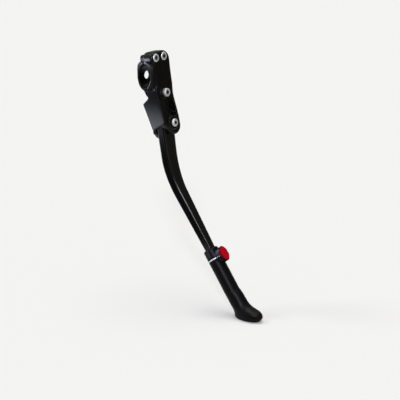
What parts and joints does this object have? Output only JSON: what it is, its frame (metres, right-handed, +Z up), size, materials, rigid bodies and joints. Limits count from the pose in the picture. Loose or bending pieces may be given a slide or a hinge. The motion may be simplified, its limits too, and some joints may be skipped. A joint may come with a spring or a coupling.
{
  "type": "bicycle kickstand",
  "caption": "Clamp-on rear bicycle kickstand: cast clamp head, bent leg that folds back on a pivot bolt, and a sliding foot sleeve locked by a push button.",
  "frame": {"origin": "centre of the clamp's opening for the stay", "axes": "+X outwards from the wheel, +Y to the rear along the stay, +Z up with the foot's sole level"},
  "size_m": [0.1814, 0.0324, 0.3068],
  "materials": {
    "black_casting": "satin black coat on a casting",
    "black_leg": "satin black coat",
    "zinc_screw": "zinc plated",
    "bright_steel": "bright",
    "black_plastic": "satin moulded",
    "red_plastic": "glossy moulded"
  },
  "bodies": {
    "head": {"bracket": "black_casting", "clamp_cap": "black_casting", "upper_clamp_screws": "zinc_screw", "lower_clamp_screw": "zinc_screw", "pivot_bolt": "zinc_screw", "pivot_nut": "zinc_screw", "detent_spring": "bright_steel"},
    "plunger": {"detent_plunger": "bright_steel"},
    "leg": {"leg": "black_leg"},
    "foot": {"lock_collar": "black_plastic", "foot_sleeve": "black_plastic", "button_springs": "bright_steel", "collar_screws": "bright_steel"},
    "release": {"release_button": "red_plastic", "lock_plate": "bright_steel"}
  },
  "joints": [
    {"name": "leg_fold", "type": "hinge", "parent": "head", "child": "leg", "pos_m": [0.01801, 0, -0.05626], "axis": [0.9863, 0, 0.165], "range_deg": [0, 90]},
    {"name": "detent_slide", "type": "slide", "parent": "head", "child": "plunger", "axis": [0.165, 0, -0.9863], "range_m": [0, 0.0012], "stiffness_N_per_m": 500},
    {"name": "foot_slide", "type": "slide", "parent": "leg", "child": "foot", "axis": [0.6018, 0, -0.7986], "range_m": [0, 0.04]},
    {"name": "button_press", "type": "slide", "parent": "foot", "child": "release", "axis": [0.7986, 0, 0.6018], "range_m": [-0.0015, 0.0012], "stiffness_N_per_m": 800, "deforming": ["button_springs"]}
  ]
}
